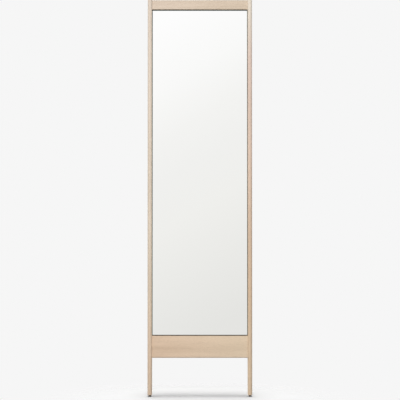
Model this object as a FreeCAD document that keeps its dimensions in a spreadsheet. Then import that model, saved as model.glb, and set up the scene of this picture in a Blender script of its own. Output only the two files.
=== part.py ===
import FreeCAD, Part

import math
import os
import re

import Sketcher

# Full-length leaning mirror. Two half-round oak stiles run down past the bottom rail as legs.
# The glass is bonded to a dark back panel, which is screwed into a rebate behind the frame.
# Millimetres: x to the right, y from the front to the wall, z up from the floor.

SIZES = {
    # Whole mirror
    "overall_width": 515,
    "overall_height": 1955,
    "leg_clearance": 189,
    # Stiles
    "stile_width": 22,
    "stile_depth": 32,
    "stile_back_radius": 6,
    "stile_top_radius": 2,
    "leg_end_radius": 3.5,
    # Rails
    "top_rail_height": 47,
    "bottom_rail_height": 109,
    "rail_setback": 9,
    "rail_thickness": 18,
    "rail_outer_radius": 7,
    "rail_opening_radius": 1.5,
    "rail_back_radius": 2,
    # Dowel joints between rails and stiles
    "dowel_diameter": 8,
    "dowel_length": 40,
    "dowel_in_stile": 15,
    "dowel_end_bevel": 1,
    "dowel_edge_distance": 10,
    "top_dowel_count": 2,
    "bottom_dowel_count": 3,
    "dowel_clearance": 0.05,
    "dowel_end_gap": 1,
    # Glass pack, from the front to the back
    "glass_recess": 4,
    "glass_side_gap": 2,
    "glass_foot_gap": 4,
    "glass_head_gap": 5.5,
    "glass_thickness": 4,
    "glass_arris": 0.6,
    "film_thickness": 0.3,
    "film_margin": 1,
    "tape_thickness": 1,
    "tape_width": 20,
    "tape_spacing": 116,
    "tape_margin": 40,
    "tape_count": 4,
    "block_length": 40,
    "block_spacing": 240,
    # Back panel in its rebate
    "rebate_width": 10,
    "panel_clearance": 1,
    "panel_thickness": 6,
    # Screws of the back panel
    "panel_screw_diameter": 3,
    "panel_screw_length": 12,
    "panel_screw_tip": 2.5,
    "panel_screw_head_diameter": 6,
    "panel_screw_head_height": 2,
    "panel_screw_head_bevel": 0.8,
    "panel_screw_hole_clearance": 0.2,
    "panel_screw_pilot_clearance": 0.05,
    "panel_screw_end_gap": 1,
    "side_screw_count": 6,
    "side_screw_margin": 52,
    "end_screw_spacing": 250,
    # Keyhole plates let into the back of the top rail
    "hanger_spacing": 300,
    "hanger_width": 56,
    "hanger_height": 28,
    "hanger_thickness": 2,
    "hanger_clearance": 0.2,
    "keyhole_entry_diameter": 10,
    "keyhole_slot_width": 5,
    "keyhole_travel": 9,
    "keyhole_pocket_depth": 6,
    "keyhole_pocket_margin": 1,
    "hanger_screw_spacing": 38,
    "hanger_screw_diameter": 3.5,
    "hanger_screw_length": 14,
    "hanger_screw_tip": 3,
    "hanger_screw_head_diameter": 7,
    "hanger_screw_hole_clearance": 0.25,
    "hanger_screw_pilot_clearance": 0.05,
    "hanger_screw_end_gap": 1,
    # Rubber wall buffers at the back of the stiles
    "buffer_diameter": 9,
    "buffer_proud": 2,
    "buffer_bevel": 0.6,
    "buffer_stem_diameter": 4,
    "buffer_stem_length": 8,
    "buffer_drop": 14,
    # Glides under the legs
    "glide_diameter": 12,
    "glide_height": 7,
    "glide_bevel": 1,
    "glide_stem_diameter": 5,
    "glide_stem_length": 18,
    # Press-in stems of buffers and glides
    "stem_clearance": 0.05,
    "stem_end_gap": 1,
}

# Distances that follow from the sizes. Heights are from the floor and depths from the stile front.
DISTANCES = {
    "front_plane": "-(stile_depth + buffer_proud) / 2",
    "stile_centre": "(overall_width - stile_width) / 2",
    "stile_length": "overall_height - glide_height",
    "opening_width": "overall_width - 2 * stile_width",
    "opening_bottom": "leg_clearance + bottom_rail_height",
    "opening_top": "overall_height - top_rail_height",
    "opening_height": "opening_top - opening_bottom",
    "glass_front": "rail_setback + glass_recess",
    "film_front": "glass_front + glass_thickness",
    "tape_front": "film_front + film_thickness",
    "panel_front": "tape_front + tape_thickness",
    "panel_back": "panel_front + panel_thickness",
    "rail_back": "rail_setback + rail_thickness",
    "rebate_cheek": "panel_front - rail_setback",
    "glass_width": "opening_width - 2 * glass_side_gap",
    "glass_height": "opening_height - glass_foot_gap - glass_head_gap",
    "glass_bottom": "opening_bottom + glass_foot_gap",
    "panel_overlap": "rebate_width - panel_clearance",
    "panel_width": "opening_width + 2 * panel_overlap",
    "panel_height": "opening_height + 2 * panel_overlap",
    "panel_bottom": "opening_bottom - panel_overlap",
    "tape_height": "glass_height - 2 * tape_margin",
    "dowel_in_rail": "dowel_length - dowel_in_stile",
    "dowel_hole_diameter": "dowel_diameter + 2 * dowel_clearance",
    "dowel_depth": "rail_setback + rail_thickness / 2",
    "top_dowel_first": "opening_top + rebate_width + dowel_edge_distance",
    "top_dowel_span": "overall_height - dowel_edge_distance - top_dowel_first",
    "bottom_dowel_first": "leg_clearance + dowel_edge_distance",
    "bottom_dowel_span": "opening_bottom - rebate_width - dowel_edge_distance - bottom_dowel_first",
    "panel_pilot_diameter": "panel_screw_diameter + 2 * panel_screw_pilot_clearance",
    "panel_pilot_depth": "panel_screw_length - panel_thickness + panel_screw_end_gap",
    "panel_hole_diameter": "panel_screw_diameter + 2 * panel_screw_hole_clearance",
    "side_screw_first": "opening_bottom + side_screw_margin",
    "side_screw_span": "opening_height - 2 * side_screw_margin",
    "side_screw_spacing": "opening_width + rebate_width",
    "end_screw_first": "opening_bottom - rebate_width / 2",
    "end_screw_span": "opening_height + rebate_width",
    "hanger_middle": "(opening_top + rebate_width + overall_height) / 2",
    "hanger_hole_diameter": "hanger_screw_diameter + 2 * hanger_screw_hole_clearance",
    "hanger_pilot_diameter": "hanger_screw_diameter + 2 * hanger_screw_pilot_clearance",
    "hanger_pilot_depth": "hanger_screw_length - hanger_thickness + hanger_screw_end_gap",
    "hanger_sink": "(hanger_screw_head_diameter - hanger_screw_diameter) / 2",
    "buffer_height": "overall_height - buffer_drop",
    "buffer_hole_diameter": "buffer_stem_diameter + 2 * stem_clearance",
    "glide_hole_diameter": "glide_stem_diameter + 2 * stem_clearance",
}

RAILS = ("top", "bottom")
QUARTER = math.pi / 2
NORMAL = FreeCAD.Vector(0, 0, 1)
NEAR = 0.001

doc = FreeCAD.newDocument("LeaningMirror")
sheet = doc.addObject("Spreadsheet::Sheet", "Sizes")
for row, (size_name, size) in enumerate(SIZES.items(), start=1):
    sheet.set(f"A{row}", size_name)
    sheet.set(f"B{row}", str(size))
    sheet.setAlias(f"B{row}", size_name)
doc.recompute()


def formula(text):
    """Write the named sizes and distances in text as references to the sheet's cells."""

    def spell_out(word):
        name = word.group()
        if name in DISTANCES:
            return f"({formula(DISTANCES[name])})"
        return f"Sizes.{name}"

    return re.sub(r"[a-z]\w*", spell_out, text)


def measure(text):
    """The length that a formula gives now."""
    return float(sheet.evalExpression(formula(text)))


def spot(across, up):
    return FreeCAD.Vector(measure(across), measure(up), 0)


def new_body(label, across, depth, height):
    """A body whose own origin stands at three named distances of the mirror's frame."""
    body = doc.addObject("PartDesign::Body", label)
    body.Label = label
    body.setExpression("Placement.Base.x", formula(across))
    body.setExpression("Placement.Base.y", formula(f"front_plane + {depth}"))
    body.setExpression("Placement.Base.z", formula(height))
    return body


def origin_feature(body, role):
    return next(feature for feature in body.Origin.OriginFeatures if feature.Role == role)


def new_sketch(body, name, role, lift="0"):
    """A sketch on one of the body's origin planes, lifted along that plane's normal."""
    sketch = body.newObject("Sketcher::SketchObject", f"{body.Label}_{name}")
    sketch.AttachmentSupport = [(origin_feature(body, role), "")]
    sketch.MapMode = "FlatFace"
    sketch.setExpression("AttachmentOffset.Base.z", formula(lift))
    return sketch


def hold(sketch, kind, value, *points):
    """Add a dimension that follows its formula."""
    index = sketch.addConstraint(Sketcher.Constraint(kind, *points, measure(value)))
    sketch.setExpression(f"Constraints[{index}]", formula(value))


def pin(sketch, shape, point, across, up):
    """Hold one point of a shape at two distances from the sketch's origin."""
    hold(sketch, "DistanceX", across, -1, 1, shape, point)
    hold(sketch, "DistanceY", up, -1, 1, shape, point)


def join(sketch, kind, *ends):
    sketch.addConstraint(Sketcher.Constraint(kind, *ends))


def draw_outline(sketch, corners):
    """A closed outline of straight lines through the corners."""
    lines = []
    for start, end in zip(corners, corners[1:] + corners[:1]):
        lines.append(sketch.addGeometry(Part.LineSegment(spot(*start), spot(*end)), False))
    for line, following, corner in zip(lines, lines[1:] + lines[:1], corners):
        join(sketch, "Coincident", line, 2, following, 1)
        pin(sketch, line, 1, *corner)


def draw_box(sketch, left, right, bottom, top):
    draw_outline(sketch, [(left, bottom), (right, bottom), (right, top), (left, top)])


def draw_circle(sketch, across, up, diameter):
    ring = Part.Circle(spot(across, up), NORMAL, measure(diameter) / 2)
    circle = sketch.addGeometry(ring, False)
    pin(sketch, circle, 3, across, up)
    hold(sketch, "Diameter", diameter, circle)


def draw_arc(sketch, middle, radius, start_angle, end_angle):
    circle = Part.Circle(middle, NORMAL, radius)
    return sketch.addGeometry(Part.ArcOfCircle(circle, start_angle, end_angle), False)


def draw_slot(sketch, first, last, width):
    """A round-ended slot from a first centre to a last one."""
    start, end = spot(*first), spot(*last)
    along = (end - start).normalize()
    turn = math.atan2(along.y, along.x)
    radius = measure(width) / 2
    aside = FreeCAD.Vector(-along.y, along.x, 0) * radius
    near = draw_arc(sketch, start, radius, turn + QUARTER, turn + 3 * QUARTER)
    lower = sketch.addGeometry(Part.LineSegment(start - aside, end - aside), False)
    far = draw_arc(sketch, end, radius, turn - QUARTER, turn + QUARTER)
    upper = sketch.addGeometry(Part.LineSegment(end + aside, start + aside), False)
    loop = [near, lower, far, upper]
    for piece, following in zip(loop, loop[1:] + loop[:1]):
        join(sketch, "Tangent", piece, 2, following, 1)
    pin(sketch, near, 3, *first)
    pin(sketch, far, 3, *last)
    join(sketch, "Equal", near, far)
    hold(sketch, "Diameter", width, near)


def add_pad(body, sketch, length, side="One side", turned=False):
    pad = body.newObject("PartDesign::Pad", f"{sketch.Name}_pad")
    pad.Profile = sketch
    pad.SideType = side
    pad.Reversed = turned
    pad.setExpression("Length", formula(length))
    doc.recompute()
    return pad


def add_cut(body, kind, sketch, settings):
    """Cut the sketch into the body, and stop if the cut met no material."""
    before = body.Shape.Volume
    cut = body.newObject(f"PartDesign::{kind}", f"{sketch.Name}_{kind.lower()}")
    cut.Profile = sketch
    settings(cut)
    doc.recompute()
    if body.Shape.Volume >= before:
        raise RuntimeError(f"{cut.Name} cuts nothing")
    return cut


def add_pocket(body, sketch, depth, turned=False):
    def settings(pocket):
        pocket.Reversed = turned
        pocket.setExpression("Length", formula(depth))

    return add_cut(body, "Pocket", sketch, settings)


def add_groove(body, sketch, axis):
    def settings(groove):
        groove.ReferenceAxis = (sketch, [axis])

    return add_cut(body, "Groove", sketch, settings)


def add_turning(body, sketch, axis):
    """Turn the sketch's outline a full turn about one of the sketch's axes."""
    turning = body.newObject("PartDesign::Revolution", f"{sketch.Name}_turning")
    turning.Profile = sketch
    turning.ReferenceAxis = (sketch, [axis])
    doc.recompute()
    return turning


def add_row(body, feature, role, count, length):
    """Repeat a feature along one of the body's axes, evenly over a length."""
    row = body.newObject("PartDesign::LinearPattern", f"{feature.Name}_row")
    row.Originals = [feature]
    row.Direction = (origin_feature(body, role), [""])
    row.setExpression("Length", formula(length))
    row.setExpression("Occurrences", formula(count))
    body.Tip = row
    doc.recompute()
    return row


def add_grid(body, feature, columns, width, rows, height):
    """Repeat a feature over a grid of columns and rows."""
    grid = add_row(body, feature, "X_Axis", columns, width)
    grid.Direction2 = (origin_feature(body, "Z_Axis"), [""])
    grid.setExpression("Length2", formula(height))
    grid.setExpression("Occurrences2", formula(rows))
    doc.recompute()


def add_mirrored(body, features):
    """Repeat features on the other side of the body's middle plane."""
    mirrored = body.newObject("PartDesign::Mirrored", f"{body.Label}_mirrored")
    mirrored.Originals = features
    mirrored.MirrorPlane = (origin_feature(body, "YZ_Plane"), [""])
    body.Tip = mirrored
    doc.recompute()


def edges_where(body, **coordinates):
    """Names of the body's edges that lie at the given values of X, Y or Z in its own frame."""
    names = []
    for number, edge in enumerate(body.Tip.Shape.Edges, start=1):
        box = edge.BoundBox
        for axis, value in coordinates.items():
            low, high = getattr(box, f"{axis}Min"), getattr(box, f"{axis}Max")
            if abs(low - value) > NEAR or abs(high - value) > NEAR:
                break
        else:
            names.append(f"Edge{number}")
    return names


def add_fillet(body, name, edges, radius):
    base = body.Tip
    fillet = body.newObject("PartDesign::Fillet", f"{body.Label}_{name}")
    fillet.Base = (base, edges)
    fillet.setExpression("Radius", formula(radius))
    doc.recompute()


def add_chamfer(body, name, edges, size):
    base = body.Tip
    chamfer = body.newObject("PartDesign::Chamfer", f"{body.Label}_{name}")
    chamfer.Base = (base, edges)
    chamfer.setExpression("Size", formula(size))
    doc.recompute()


def other_hand(body):
    """The right-hand twin of a left-hand piece."""
    twin = doc.addObject("Part::Mirroring", body.Label.replace("left", "right"))
    twin.Label = body.Label.replace("left", "right")
    twin.Source = body
    twin.Normal = FreeCAD.Vector(1, 0, 0)
    return twin


def draw_stile_section(sketch):
    """Half-round front, straight flanks and a flat back."""
    half, depth = measure("stile_width / 2"), measure("stile_depth")
    outer_front, outer_back = FreeCAD.Vector(-half, half, 0), FreeCAD.Vector(-half, depth, 0)
    inner_front, inner_back = FreeCAD.Vector(half, half, 0), FreeCAD.Vector(half, depth, 0)
    outer = sketch.addGeometry(Part.LineSegment(outer_back, outer_front), False)
    front = draw_arc(sketch, FreeCAD.Vector(0, half, 0), half, 2 * QUARTER, 4 * QUARTER)
    inner = sketch.addGeometry(Part.LineSegment(inner_front, inner_back), False)
    back = sketch.addGeometry(Part.LineSegment(inner_back, outer_back), False)
    join(sketch, "Tangent", outer, 2, front, 1)
    join(sketch, "Tangent", front, 2, inner, 1)
    join(sketch, "Coincident", inner, 2, back, 1)
    join(sketch, "Coincident", back, 2, outer, 1)
    join(sketch, "Vertical", outer)
    join(sketch, "Vertical", inner)
    join(sketch, "Horizontal", back)
    pin(sketch, outer, 1, "-stile_width / 2", "stile_depth")
    hold(sketch, "DistanceX", "stile_width / 2", -1, 1, inner, 2)
    hold(sketch, "DistanceY", "stile_width / 2", -1, 1, front, 3)


def draw_stile_rebate(sketch):
    """Stopped rebate along the inner flank, with a quarter round at each end."""
    flank, wall = "stile_width / 2", "stile_width / 2 - rebate_width"
    low, high = spot(flank, "opening_bottom"), spot(flank, "opening_top")
    reach = measure("rebate_width")
    run_out = FreeCAD.Vector(0, reach, 0)
    lower = draw_arc(sketch, low, reach, 2 * QUARTER, 3 * QUARTER)
    mouth = sketch.addGeometry(Part.LineSegment(low - run_out, high + run_out), False)
    upper = draw_arc(sketch, high, reach, QUARTER, 2 * QUARTER)
    wall_ends = spot(wall, "opening_top"), spot(wall, "opening_bottom")
    deep = sketch.addGeometry(Part.LineSegment(*wall_ends), False)
    join(sketch, "Coincident", lower, 2, mouth, 1)
    join(sketch, "Coincident", mouth, 2, upper, 1)
    join(sketch, "Tangent", upper, 2, deep, 1)
    join(sketch, "Tangent", deep, 2, lower, 1)
    join(sketch, "Vertical", mouth)
    join(sketch, "Vertical", deep)
    pin(sketch, lower, 3, flank, "opening_bottom")
    pin(sketch, upper, 3, flank, "opening_top")
    hold(sketch, "DistanceX", flank, -1, 1, mouth, 1)
    hold(sketch, "DistanceX", wall, -1, 1, deep, 1)


def draw_dowel_holes(sketch, rail, depth, base):
    """One rail's dowel holes at a depth, with heights counted from a base."""
    for step in range(int(measure(f"{rail}_dowel_count"))):
        rise = f"{rail}_dowel_span * {step} / ({rail}_dowel_count - 1)"
        draw_circle(sketch, depth, f"{rail}_dowel_first + {rise} - {base}", "dowel_hole_diameter")


def make_left_stile():
    """Round front, domed leg end, stopped rebate, dowel mortises and press-in sockets."""
    stile = new_body("left_stile", "-stile_centre", "0", "0")
    section = new_sketch(stile, "section", "XY_Plane", "glide_height")
    draw_stile_section(section)
    add_pad(stile, section, "stile_length")
    half, depth = measure("stile_width / 2"), measure("stile_depth")
    back_edges = edges_where(stile, X=half, Y=depth) + edges_where(stile, X=-half, Y=depth)
    add_fillet(stile, "back_round", back_edges, "stile_back_radius")
    add_fillet(stile, "leg_end", edges_where(stile, Z=measure("glide_height")), "leg_end_radius")
    add_fillet(stile, "top_end", edges_where(stile, Z=measure("overall_height")), "stile_top_radius")
    rebate = new_sketch(stile, "rebate", "XZ_Plane", "-panel_front")
    draw_stile_rebate(rebate)
    add_pocket(stile, rebate, "stile_depth - panel_front")
    mortises = new_sketch(stile, "mortises", "YZ_Plane", "stile_width / 2")
    for rail in RAILS:
        draw_dowel_holes(mortises, rail, "dowel_depth", "0")
    add_pocket(stile, mortises, "dowel_in_stile + dowel_end_gap")
    pilot = new_sketch(stile, "pilot", "XZ_Plane", "-panel_front")
    draw_circle(pilot, "(stile_width - rebate_width) / 2", "side_screw_first", "panel_pilot_diameter")
    pilot_hole = add_pocket(stile, pilot, "panel_pilot_depth", turned=True)
    add_row(stile, pilot_hole, "Z_Axis", "side_screw_count", "side_screw_span")
    glide_socket = new_sketch(stile, "glide_socket", "XY_Plane", "glide_height")
    draw_circle(glide_socket, "0", "stile_depth / 2", "glide_hole_diameter")
    add_pocket(stile, glide_socket, "glide_stem_length + stem_end_gap", turned=True)
    buffer_socket = new_sketch(stile, "buffer_socket", "XZ_Plane", "-stile_depth")
    draw_circle(buffer_socket, "0", "buffer_height", "buffer_hole_diameter")
    add_pocket(stile, buffer_socket, "buffer_stem_length + stem_end_gap", turned=True)
    return stile


def make_rail(name, plain_edge, open_edge, rebate_edge):
    """One rail; its edges are heights from its own bottom. Returns it with its left-hand cuts."""
    base = {"top": "opening_top", "bottom": "leg_clearance"}[name]
    rail = new_body(f"{name}_rail", "0", "rail_setback", base)
    section = new_sketch(rail, "section", "YZ_Plane")
    cheek = [("rebate_cheek", rebate_edge), ("rebate_cheek", open_edge)]
    back = [("rail_thickness", plain_edge), ("rail_thickness", rebate_edge)]
    draw_outline(section, [("0", plain_edge), *back, *cheek, ("0", open_edge)])
    add_pad(rail, section, "opening_width", side="Symmetric")
    plain, opening = measure(plain_edge), measure(open_edge)
    add_fillet(rail, "outer_round", edges_where(rail, Y=0, Z=plain), "rail_outer_radius")
    add_fillet(rail, "opening_round", edges_where(rail, Y=0, Z=opening), "rail_opening_radius")
    back_edges = edges_where(rail, Y=measure("rail_thickness"), Z=plain)
    add_fillet(rail, "back_round", back_edges, "rail_back_radius")
    holes = new_sketch(rail, "dowel_holes", "YZ_Plane", "-opening_width / 2")
    draw_dowel_holes(holes, name, "rail_thickness / 2", base)
    dowel_holes = add_pocket(rail, holes, "dowel_in_rail + dowel_end_gap", turned=True)
    pilot = new_sketch(rail, "pilot", "XZ_Plane", "-rebate_cheek")
    pilot_height = f"({open_edge} + {rebate_edge}) / 2"
    draw_circle(pilot, "-end_screw_spacing / 2", pilot_height, "panel_pilot_diameter")
    pilot_hole = add_pocket(rail, pilot, "panel_pilot_depth", turned=True)
    return rail, [dowel_holes, pilot_hole]


def draw_hanger_outline(sketch, middle, level, width):
    reach = "(hanger_width - hanger_height) / 2"
    draw_slot(sketch, (f"{middle} - {reach}", level), (f"{middle} + {reach}", level), width)


def draw_keyhole_slot(sketch, middle, level, width):
    reach = "keyhole_travel / 2"
    draw_slot(sketch, (middle, f"{level} - {reach}"), (middle, f"{level} + {reach}"), width)


def draw_hanger_holes(sketch, middle, level, diameter):
    for sign in "-+":
        draw_circle(sketch, f"{middle} {sign} hanger_screw_spacing / 2", level, diameter)


def cut_hanger_seat(rail):
    """Left recess for a keyhole plate, room for the wall screw's head, and pilot holes."""
    middle, level = "-hanger_spacing / 2", "hanger_middle - opening_top"
    recess = new_sketch(rail, "hanger_recess", "XZ_Plane", "-rail_thickness")
    draw_hanger_outline(recess, middle, level, "hanger_height + 2 * hanger_clearance")
    floor = "hanger_thickness - rail_thickness"
    room = new_sketch(rail, "keyhole_room", "XZ_Plane", floor)
    draw_keyhole_slot(room, middle, level, "keyhole_entry_diameter + 2 * keyhole_pocket_margin")
    pilots = new_sketch(rail, "hanger_pilots", "XZ_Plane", floor)
    draw_hanger_holes(pilots, middle, level, "hanger_pilot_diameter")
    return [
        add_pocket(rail, recess, "hanger_thickness", turned=True),
        add_pocket(rail, room, "keyhole_pocket_depth", turned=True),
        add_pocket(rail, pilots, "hanger_pilot_depth", turned=True),
    ]


def make_rails():
    top, top_cuts = make_rail("top", "top_rail_height", "0", "rebate_width")
    add_mirrored(top, top_cuts + cut_hanger_seat(top))
    low_edges = "0", "bottom_rail_height", "bottom_rail_height - rebate_width"
    bottom, bottom_cuts = make_rail("bottom", *low_edges)
    add_mirrored(bottom, bottom_cuts)
    return [top, bottom]


def make_left_dowels(rail):
    """Bevelled dowels that join the left end of a rail to its stile."""
    dowels = new_body(f"{rail}_left_dowels", "-opening_width / 2", "dowel_depth", f"{rail}_dowel_first")
    section = new_sketch(dowels, "section", "XZ_Plane")
    stile_end, rail_end = "-dowel_in_stile", "dowel_in_rail"
    neck, radius = "dowel_diameter / 2 - dowel_end_bevel", "dowel_diameter / 2"
    outline = [(stile_end, "0"), (stile_end, neck), (f"{stile_end} + dowel_end_bevel", radius)]
    outline += [(f"{rail_end} - dowel_end_bevel", radius), (rail_end, neck), (rail_end, "0")]
    draw_outline(section, outline)
    dowel = add_turning(dowels, section, "H_Axis")
    add_row(dowels, dowel, "Z_Axis", f"{rail}_dowel_count", f"{rail}_dowel_span")
    return dowels


def make_glass():
    glass = new_body("mirror_glass", "0", "glass_front", "glass_bottom")
    outline = new_sketch(glass, "outline", "XZ_Plane")
    draw_box(outline, "-glass_width / 2", "glass_width / 2", "0", "glass_height")
    add_pad(glass, outline, "glass_thickness", turned=True)
    rims = edges_where(glass, Y=0) + edges_where(glass, Y=measure("glass_thickness"))
    add_chamfer(glass, "arris", rims, "glass_arris")
    return glass


def make_film():
    film = new_body("safety_film", "0", "film_front", "glass_bottom")
    outline = new_sketch(film, "outline", "XZ_Plane")
    reach = "glass_width / 2 - film_margin"
    draw_box(outline, f"-({reach})", reach, "film_margin", "glass_height - film_margin")
    add_pad(film, outline, "film_thickness", turned=True)
    return film


def make_tapes():
    """Upright strips of foam tape that bond the glass to the panel."""
    tapes = new_body("mounting_tapes", "0", "tape_front", "glass_bottom + tape_margin")
    outline = new_sketch(tapes, "outline", "XZ_Plane")
    first = "-(tape_count - 1) * tape_spacing / 2"
    draw_box(outline, f"{first} - tape_width / 2", f"{first} + tape_width / 2", "0", "tape_height")
    strip = add_pad(tapes, outline, "tape_thickness", turned=True)
    add_row(tapes, strip, "X_Axis", "tape_count", "(tape_count - 1) * tape_spacing")
    return tapes


def make_setting_blocks():
    """Two blocks on the bottom rail that carry the weight of the glass."""
    blocks = new_body("setting_blocks", "-block_spacing / 2", "glass_front", "opening_bottom")
    outline = new_sketch(blocks, "outline", "XZ_Plane")
    draw_box(outline, "-block_length / 2", "block_length / 2", "0", "glass_foot_gap")
    block = add_pad(blocks, outline, "glass_thickness", turned=True)
    add_row(blocks, block, "X_Axis", "2", "block_spacing")
    return blocks


def make_back_panel():
    """Panel with round corners to suit the rebate, drilled for its screws."""
    panel = new_body("back_panel", "0", "panel_front", "panel_bottom")
    outline = new_sketch(panel, "outline", "XZ_Plane")
    draw_box(outline, "-panel_width / 2", "panel_width / 2", "0", "panel_height")
    add_pad(panel, outline, "panel_thickness", turned=True)
    half, height = measure("panel_width / 2"), measure("panel_height")
    corners = [name for x in (-half, half) for z in (0, height) for name in edges_where(panel, X=x, Z=z)]
    add_fillet(panel, "corners", corners, "panel_overlap")
    side = new_sketch(panel, "side_hole", "XZ_Plane")
    draw_circle(side, "-side_screw_spacing / 2", "side_screw_first - panel_bottom", "panel_hole_diameter")
    side_hole = add_pocket(panel, side, "panel_thickness")
    add_grid(panel, side_hole, "2", "side_screw_spacing", "side_screw_count", "side_screw_span")
    end = new_sketch(panel, "end_hole", "XZ_Plane")
    draw_circle(end, "-end_screw_spacing / 2", "end_screw_first - panel_bottom", "panel_hole_diameter")
    end_hole = add_pocket(panel, end, "panel_thickness")
    add_grid(panel, end_hole, "2", "end_screw_spacing", "2", "end_screw_span")
    return panel


def make_panel_screws(place, columns_width, first, rows, rows_height):
    """A grid of pan-head screws whose heads bear on the back of the panel."""
    screws = new_body(f"back_panel_{place}_screws", f"-{columns_width} / 2", "panel_back", first)
    section = new_sketch(screws, "section", "YZ_Plane")
    head, shank = "panel_screw_head_diameter / 2", "panel_screw_diameter / 2"
    top, bevel = "panel_screw_head_height", "panel_screw_head_bevel"
    outline = [(top, "0"), (top, f"{head} - {bevel}"), (f"{top} - {bevel}", head), ("0", head)]
    outline += [("0", shank), ("panel_screw_tip - panel_screw_length", shank), ("-panel_screw_length", "0")]
    draw_outline(section, outline)
    screw = add_turning(screws, section, "H_Axis")
    add_grid(screws, screw, "2", columns_width, rows, rows_height)
    return screws


def make_left_hanger_plate():
    """Keyhole plate: round entry below, narrow slot above, two countersunk holes."""
    plate = new_body("left_hanger_plate", "-hanger_spacing / 2", "rail_back", "hanger_middle")
    outline = new_sketch(plate, "outline", "XZ_Plane")
    draw_hanger_outline(outline, "0", "0", "hanger_height")
    add_pad(plate, outline, "hanger_thickness")
    entry = new_sketch(plate, "keyhole_entry", "XZ_Plane")
    draw_circle(entry, "0", "-keyhole_travel / 2", "keyhole_entry_diameter")
    add_pocket(plate, entry, "hanger_thickness", turned=True)
    slot = new_sketch(plate, "keyhole_slot", "XZ_Plane")
    draw_keyhole_slot(slot, "0", "0", "keyhole_slot_width")
    add_pocket(plate, slot, "hanger_thickness", turned=True)
    head = "hanger_screw_head_diameter / 2 + hanger_screw_hole_clearance"
    hole = "hanger_hole_diameter / 2"
    profile = [("0", "0"), ("0", head), ("-hanger_sink", hole)]
    profile += [("-hanger_thickness", hole), ("-hanger_thickness", "0")]
    for sign, name in (("-", "outer_sink"), ("+", "inner_sink")):
        sink = new_sketch(plate, name, "YZ_Plane", f"{sign}hanger_screw_spacing / 2")
        draw_outline(sink, profile)
        add_groove(plate, sink, "H_Axis")
    return plate


def make_left_hanger_screws():
    """Countersunk screws flush with the keyhole plate."""
    first = "-(hanger_spacing + hanger_screw_spacing) / 2"
    screws = new_body("left_hanger_screws", first, "rail_back", "hanger_middle")
    section = new_sketch(screws, "section", "YZ_Plane")
    head, shank = "hanger_screw_head_diameter / 2", "hanger_screw_diameter / 2"
    outline = [("0", "0"), ("0", head), ("-hanger_sink", shank)]
    outline += [("hanger_screw_tip - hanger_screw_length", shank), ("-hanger_screw_length", "0")]
    draw_outline(section, outline)
    screw = add_turning(screws, section, "H_Axis")
    add_row(screws, screw, "X_Axis", "2", "hanger_screw_spacing")
    return screws


def make_left_wall_buffer():
    """Rubber button that stands proud of the stile's back, on a press-in stem."""
    button = new_body("left_wall_buffer", "-stile_centre", "stile_depth", "buffer_height")
    section = new_sketch(button, "section", "YZ_Plane")
    rim, stem = "buffer_diameter / 2", "buffer_stem_diameter / 2"
    outline = [("buffer_proud", "0"), ("buffer_proud", f"{rim} - buffer_bevel")]
    outline += [("buffer_proud - buffer_bevel", rim), ("0", rim), ("0", stem)]
    outline += [("-buffer_stem_length", stem), ("-buffer_stem_length", "0")]
    draw_outline(section, outline)
    add_turning(button, section, "H_Axis")
    return button


def make_left_foot_glide():
    """Round glide under the leg, on a press-in stem."""
    glide = new_body("left_foot_glide", "-stile_centre", "stile_depth / 2", "0")
    section = new_sketch(glide, "section", "XZ_Plane")
    rim, stem = "glide_diameter / 2", "glide_stem_diameter / 2"
    tip = "glide_height + glide_stem_length"
    outline = [("0", "0"), (f"{rim} - glide_bevel", "0"), (rim, "glide_bevel"), (rim, "glide_height")]
    outline += [(stem, "glide_height"), (stem, tip), ("0", tip)]
    draw_outline(section, outline)
    add_turning(glide, section, "V_Axis")
    return glide


def make_mirror():
    """Every sub-part: those on the middle line, the left-hand ones and their right-hand twins."""
    side_screws = "side_screw_spacing", "side_screw_first", "side_screw_count", "side_screw_span"
    end_screws = "end_screw_spacing", "end_screw_first", "2", "end_screw_span"
    middle = make_rails()
    middle += [make_glass(), make_film(), make_tapes(), make_setting_blocks(), make_back_panel()]
    middle += [make_panel_screws("side", *side_screws), make_panel_screws("end", *end_screws)]
    left = [make_left_stile(), make_left_foot_glide(), make_left_wall_buffer()]
    left += [make_left_hanger_plate(), make_left_hanger_screws()]
    left += [make_left_dowels(rail) for rail in RAILS]
    return middle + left + [other_hand(piece) for piece in left]


def check(pieces):
    """Stop if any object failed or any sub-part has no sound shape."""
    for thing in doc.Objects:
        if {"Invalid", "Error"} & set(thing.State):
            raise RuntimeError(f"{thing.Name} failed: {thing.State}")
    for piece in pieces:
        if piece.Shape.isNull() or not piece.Shape.isValid():
            raise RuntimeError(f"{piece.Label} has no sound shape")


sub_parts = make_mirror()
doc.recompute()
check(sub_parts)
os.makedirs("parts", exist_ok=True)
for sub_part in sub_parts:
    sub_part.Shape.exportStep(f"parts/{sub_part.Label}.step")
    print(sub_part.Label, len(sub_part.Shape.Solids), round(sub_part.Shape.Volume))
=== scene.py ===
# %% [markdown]
# This is a full-length mirror in a pale oak frame. It stands on its two stiles and leans on a wall.
# Its solids come from CAD in real sizes and stay as a fixed frame. Each piece made below takes the
# place of one of them and keeps its size, so what changes is the look: grain, eased rims, slots in
# the screws. Meshes are drawn in millimetres, as a maker would, and turned into metres at the end.

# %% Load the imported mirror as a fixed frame
import math

import bmesh
import bpy
from mathutils import Color, Matrix, Vector


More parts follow.
